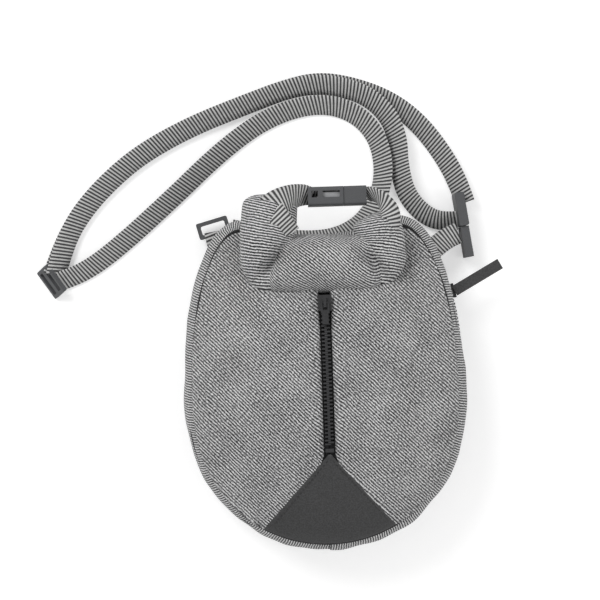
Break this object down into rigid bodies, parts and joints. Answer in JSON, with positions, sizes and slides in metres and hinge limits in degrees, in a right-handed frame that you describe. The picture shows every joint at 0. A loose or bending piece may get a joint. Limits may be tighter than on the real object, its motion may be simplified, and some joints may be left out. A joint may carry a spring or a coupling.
{
  "type": "camera bag",
  "caption": "Soft egg-shaped roll-top bag with a front zip, a side-release closure and an adjustable shoulder strap, lying on its back.",
  "frame": {"origin": "on the back panel's outer face, in the middle of the bag's width", "axes": "+Z out of the front panel, +Y towards the roll top, +X to the right of someone facing the front"},
  "size_m": [0.3909, 0.3957, 0.1042],
  "materials": {
    "twill": "heather twill, black, white and grey",
    "leather": "smooth dark leather, stitched edge",
    "webbing": "striped woven webbing",
    "buckle": "moulded dark grey plastic",
    "zip_tape": "woven zip tape",
    "zip_teeth": "moulded plastic teeth",
    "zip_metal": "black painted slider",
    "foam": "brushed lining over foam",
    "lining": "plain woven lining"
  },
  "bodies": {
    "root": {"gusset": "twill", "back_panel": "twill", "front_panel_left": "twill", "front_panel_right": "twill", "base_triangle": "leather", "neck_top": "lining", "neck_front": "lining", "front_piping": "twill", "insert_wall": "foam", "insert_floor": "foam", "divider_left": "foam", "divider_right": "foam", "roll_centre": "twill", "roll_end_left": "twill", "roll_end_right": "twill", "roll_stiffener": "buckle", "closure_web_left": "webbing", "closure_web_right": "webbing", "buckle_female": "buckle", "front_zip_tape_left": "zip_tape", "front_zip_tape_right": "zip_tape", "front_zip_teeth_left": "zip_teeth", "front_zip_teeth_right": "zip_teeth", "front_zip_stop": "zip_teeth", "side_zip_tapes": "zip_tape", "side_zip_teeth": "zip_teeth", "strap_tab_left": "webbing", "strap_ring": "buckle", "strap_tab_right": "webbing", "strap_lock_body": "buckle", "strap_lock_foot": "buckle", "strap_slider": "buckle", "strap_inner_run": "webbing", "strap_outer_run": "webbing", "strap_return_run": "webbing"},
    "front_slider": {"front_zip_slider": "zip_metal"},
    "front_puller": {"front_zip_puller": "zip_metal"},
    "side_slider": {"side_zip_slider": "zip_metal"},
    "side_tab": {"side_pull_tab": "leather"},
    "buckle_male": {"buckle_male": "buckle"},
    "latch_front": {"latch_arm_front": "buckle"},
    "latch_back": {"latch_arm_back": "buckle"}
  },
  "joints": [
    {"name": "front_zip_travel", "type": "hinge", "parent": "root", "child": "front_slider", "pos_m": [0.0015, 0, -0.193], "axis": [1, 0, 0], "range_deg": [0, 20.3]},
    {"name": "front_zip_puller_flip", "type": "hinge", "parent": "front_slider", "child": "front_puller", "pos_m": [0.0015, 0.07377, 0.09903], "axis": [-1, 0, 0], "range_deg": [0, 80]},
    {"name": "side_zip_travel", "type": "hinge", "parent": "root", "child": "side_slider", "pos_m": [-0.1061, 0.02643, 0.03], "axis": [0, 0, -1], "range_deg": [0, 10]},
    {"name": "side_tab_swing", "type": "hinge", "parent": "side_slider", "child": "side_tab", "pos_m": [0.11185, 0.08063, 0.03], "axis": [0, 0, 1], "range_deg": [-50, 25]},
    {"name": "buckle_release", "type": "slide", "parent": "root", "child": "buckle_male", "axis": [1, 0, 0], "range_m": [0, 0.024], "deforming": ["closure_web_right"]},
    {"name": "latch_front_squeeze", "type": "hinge", "parent": "buckle_male", "child": "latch_front", "pos_m": [0.0192, 0.159, 0.0783], "axis": [0, -1, 0], "range_deg": [0, 8], "stiffness_Nm_per_rad": 0.02},
    {"name": "latch_back_squeeze", "type": "hinge", "parent": "buckle_male", "child": "latch_back", "pos_m": [0.0192, 0.159, 0.0617], "axis": [0, 1, 0], "range_deg": [0, 8], "stiffness_Nm_per_rad": 0.02}
  ],
  "couplings": [
    {"joint": "latch_back_squeeze", "follows": "latch_front_squeeze", "ratio": 1}
  ]
}
